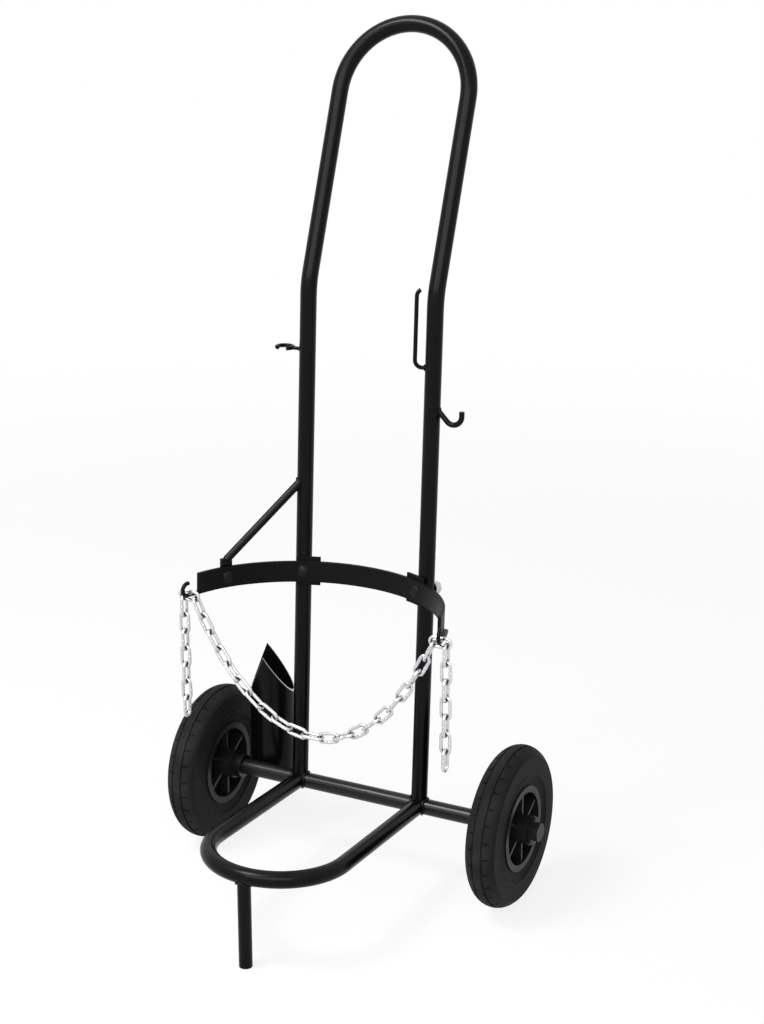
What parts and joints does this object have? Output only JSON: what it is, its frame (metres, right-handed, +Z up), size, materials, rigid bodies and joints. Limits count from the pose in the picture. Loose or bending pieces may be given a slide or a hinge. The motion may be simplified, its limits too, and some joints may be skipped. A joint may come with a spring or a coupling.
{
  "type": "gas cylinder trolley",
  "caption": "Two-wheeled hand trolley for a gas cylinder: bent tube frame with toe loop and prop leg, curved rest with hanging chain, lance pocket and hose hooks.",
  "frame": {"origin": "floor level under the middle of the trolley's box, standing on both wheels and the prop leg", "axes": "+X to the right seen from the front, +Y to the back where the handle leans, +Z up"},
  "size_m": [0.4936, 0.4512, 1.0404],
  "materials": {
    "gloss_black_paint": "gloss",
    "satin_black_paint": "satin",
    "axle_steel": "gloss",
    "black_bolt": "satin",
    "zinc_fastener": "bright zinc",
    "black_cap": "satin",
    "tyre_rubber": "matte",
    "rim_plastic": "satin",
    "bush_nylon": "natural",
    "chain_zinc": "bright zinc"
  },
  "bodies": {
    "frame": {"handle_tube": "gloss_black_paint", "axle": "axle_steel", "toe_loop": "gloss_black_paint", "front_leg": "gloss_black_paint", "cylinder_rest": "satin_black_paint", "rest_lugs": "satin_black_paint", "rest_bolts": "black_bolt", "rest_washers": "zinc_fastener", "rest_nuts": "zinc_fastener", "brace": "gloss_black_paint", "brace_bolt": "black_bolt", "brace_nut": "zinc_fastener", "left_chain_hook": "gloss_black_paint", "right_chain_hook": "gloss_black_paint", "lance_pocket": "gloss_black_paint", "pocket_floor": "gloss_black_paint", "lance_hook": "gloss_black_paint", "hose_loop": "gloss_black_paint", "hose_hook": "gloss_black_paint", "stop_collars": "axle_steel", "hub_washers": "black_bolt", "axle_caps": "black_cap"},
    "left_wheel": {"left_tyre": "tyre_rubber", "left_rim": "rim_plastic", "left_bush": "bush_nylon"},
    "right_wheel": {"right_tyre": "tyre_rubber", "right_rim": "rim_plastic", "right_bush": "bush_nylon"},
    "chain": {"left_hook_link": "chain_zinc", "right_hook_link": "chain_zinc", "chain_span": "chain_zinc"},
    "left_tail": {"left_chain_tail": "chain_zinc"},
    "right_tail": {"right_chain_tail": "chain_zinc"}
  },
  "joints": [
    {"name": "left_wheel_spin", "type": "hinge", "parent": "frame", "child": "left_wheel", "pos_m": [-0.207, 0.06696, 0.1], "axis": [1, 0, 0], "continuous": true},
    {"name": "right_wheel_spin", "type": "hinge", "parent": "frame", "child": "right_wheel", "pos_m": [0.207, 0.06696, 0.1], "axis": [1, 0, 0], "continuous": true},
    {"name": "chain_swing", "type": "hinge", "parent": "frame", "child": "chain", "pos_m": [0, -0.05085, 0.37905], "axis": [1, 0, 0], "range_deg": [-25, 18]},
    {"name": "left_tail_swing", "type": "hinge", "parent": "chain", "child": "left_tail", "pos_m": [-0.17455, -0.05085, 0.36805], "axis": [1, 0, 0], "range_deg": [-25, 25]},
    {"name": "right_tail_swing", "type": "hinge", "parent": "chain", "child": "right_tail", "pos_m": [0.17455, -0.05085, 0.36805], "axis": [1, 0, 0], "range_deg": [-25, 25]}
  ]
}
